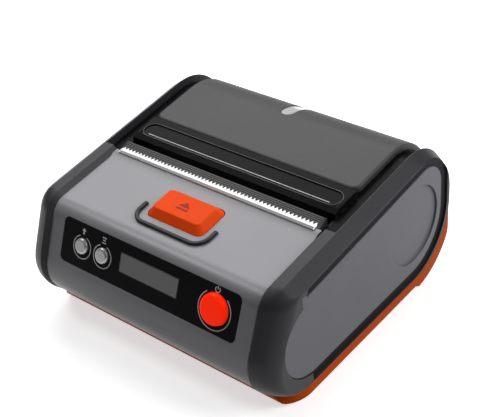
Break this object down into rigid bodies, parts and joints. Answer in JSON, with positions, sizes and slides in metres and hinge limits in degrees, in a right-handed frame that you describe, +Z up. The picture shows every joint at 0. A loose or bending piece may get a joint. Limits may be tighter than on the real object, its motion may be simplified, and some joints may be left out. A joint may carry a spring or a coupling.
{
  "type": "portable thermal printer",
  "caption": "Portable thermal printer with rounded side bumpers, a hinged paper lid, a toothed tear blade and push buttons on a sloping front.",
  "frame": {"origin": "middle of the footprint on the surface the feet stand on", "axes": "+X to the right seen from the front, +Y to the rear, +Z up"},
  "size_m": [0.116, 0.113, 0.058],
  "materials": {
    "bumper": "fine matte",
    "side_panel": "satin",
    "silver": "satin silver paint",
    "black_gloss": "gloss",
    "lid_cover": "fine matte",
    "blade_bar": "satin",
    "orange_base": "fine matte",
    "orange_key": "satin",
    "red_key": "gloss",
    "silver_key": "satin",
    "clear": "clear, smoked",
    "display": "grey display",
    "inner_black": "matte",
    "nylon": "satin",
    "rubber": "matte",
    "steel": "brushed",
    "heatsink": "satin",
    "ceramic": "glazed",
    "board": "solder mask",
    "battery": "matte",
    "ribbon": "film"
  },
  "bodies": {
    "housing": {"base_shell": "orange_base", "foot_pads": "rubber", "battery_door": "orange_base", "battery_pack": "battery", "base_screws": "steel", "bumper_left": "bumper", "bumper_right": "bumper", "side_panel_left": "side_panel", "side_panel_right": "side_panel", "chassis": "inner_black", "side_frame_left": "inner_black", "side_frame_right": "inner_black", "paper_well": "inner_black", "rear_shell": "bumper", "front_shell": "silver", "control_panel": "black_gloss", "lcd_window": "clear", "lcd_module": "display", "panel_board": "board", "key_switches": "inner_black", "latch_pin": "steel", "tear_blade": "steel", "blade_holder": "blade_bar", "head_pin": "steel", "head_springs": "steel", "head_ribbon": "ribbon", "feed_motor": "steel", "hinge_pin": "steel", "main_board": "board", "usb_socket": "steel", "paper_sensor": "inner_black", "cover_switch": "inner_black"},
    "lid": {"lid_frame": "black_gloss", "lid_cover": "lid_cover", "lid_window": "clear", "platen_bushings": "nylon"},
    "platen": {"platen_shaft": "steel", "platen_rubber": "rubber", "platen_gear": "nylon"},
    "idler": {"idler_gear": "nylon"},
    "motor_shaft": {"motor_pinion": "nylon"},
    "open_key": {"open_button": "orange_key"},
    "latch": {"latch_bar": "steel"},
    "feed_key": {"feed_button": "silver_key"},
    "config_key": {"config_button": "silver_key"},
    "power_key": {"power_button": "red_key"},
    "head": {"print_head": "ceramic", "head_heatsink": "heatsink"},
    "left_guide": {"guide_left": "inner_black", "guide_rack_left": "inner_black"},
    "right_guide": {"guide_right": "inner_black", "guide_rack_right": "inner_black"},
    "pinion": {"guide_pinion": "nylon"},
    "left_hub": {"hub_left": "nylon"},
    "right_hub": {"hub_right": "nylon"}
  },
  "joints": [
    {"name": "lid_hinge", "type": "hinge", "parent": "housing", "child": "lid", "pos_m": [0, 0.052, 0.041], "axis": [-1, 0, 0], "range_deg": [0, 95]},
    {"name": "platen_spin", "type": "hinge", "parent": "lid", "child": "platen", "pos_m": [0, 0.0003, 0.044], "axis": [1, 0, 0], "continuous": true},
    {"name": "idler_spin", "type": "hinge", "parent": "housing", "child": "idler", "pos_m": [-0.05, -0.0063, 0.03257], "axis": [1, 0, 0], "continuous": true},
    {"name": "motor_spin", "type": "hinge", "parent": "housing", "child": "motor_shaft", "pos_m": [-0.05, -0.01812, 0.03049], "axis": [1, 0, 0], "continuous": true},
    {"name": "open_press", "type": "slide", "parent": "housing", "child": "open_key", "axis": [0, 0.1054, -0.9944], "range_m": [0, 0.0015], "stiffness_N_per_m": 500, "springref_m": -0.0008},
    {"name": "latch_turn", "type": "hinge", "parent": "housing", "child": "latch", "pos_m": [0, -0.0175, 0.0415], "axis": [1, 0, 0], "range_deg": [0, 7.5]},
    {"name": "feed_press", "type": "slide", "parent": "housing", "child": "feed_key", "axis": [0, 0.9135, -0.4067], "range_m": [0, 0.0008], "stiffness_N_per_m": 400, "springref_m": -0.0006},
    {"name": "config_press", "type": "slide", "parent": "housing", "child": "config_key", "axis": [0, 0.9135, -0.4067], "range_m": [0, 0.0008], "stiffness_N_per_m": 400, "springref_m": -0.0006},
    {"name": "power_press", "type": "slide", "parent": "housing", "child": "power_key", "axis": [0, 0.9135, -0.4067], "range_m": [0, 0.0008], "stiffness_N_per_m": 400, "springref_m": -0.0006},
    {"name": "head_tilt", "type": "hinge", "parent": "housing", "child": "head", "pos_m": [0, -0.00755, 0.031], "axis": [1, 0, 0], "range_deg": [0, 2], "stiffness_Nm_per_rad": 1.5, "springref_deg": -2.86, "deforming": ["head_springs"]},
    {"name": "left_guide_slide", "type": "slide", "parent": "housing", "child": "left_guide", "axis": [1, 0, 0], "range_m": [0, 0.025]},
    {"name": "right_guide_slide", "type": "slide", "parent": "housing", "child": "right_guide", "axis": [1, 0, 0], "range_m": [-0.025, 0]},
    {"name": "guide_pinion_spin", "type": "hinge", "parent": "housing", "child": "pinion", "pos_m": [0, 0.0056, 0.0245], "axis": [0, 1, 0], "range_deg": [-310, 310]},
    {"name": "left_hub_spin", "type": "hinge", "parent": "left_guide", "child": "left_hub", "pos_m": [-0.041, 0.0312, 0.0312], "axis": [1, 0, 0], "continuous": true},
    {"name": "right_hub_spin", "type": "hinge", "parent": "right_guide", "child": "right_hub", "pos_m": [0.041, 0.0312, 0.0312], "axis": [1, 0, 0], "continuous": true}
  ],
  "couplings": [
    {"joint": "idler_spin", "follows": "platen_spin", "ratio": -0.57143},
    {"joint": "motor_spin", "follows": "platen_spin", "ratio": 1.3333},
    {"joint": "latch_turn", "follows": "open_press", "rad_per_m": 86},
    {"joint": "right_guide_slide", "follows": "left_guide_slide", "ratio": -1},
    {"joint": "guide_pinion_spin", "follows": "left_guide_slide", "rad_per_m": 208.33}
  ]
}
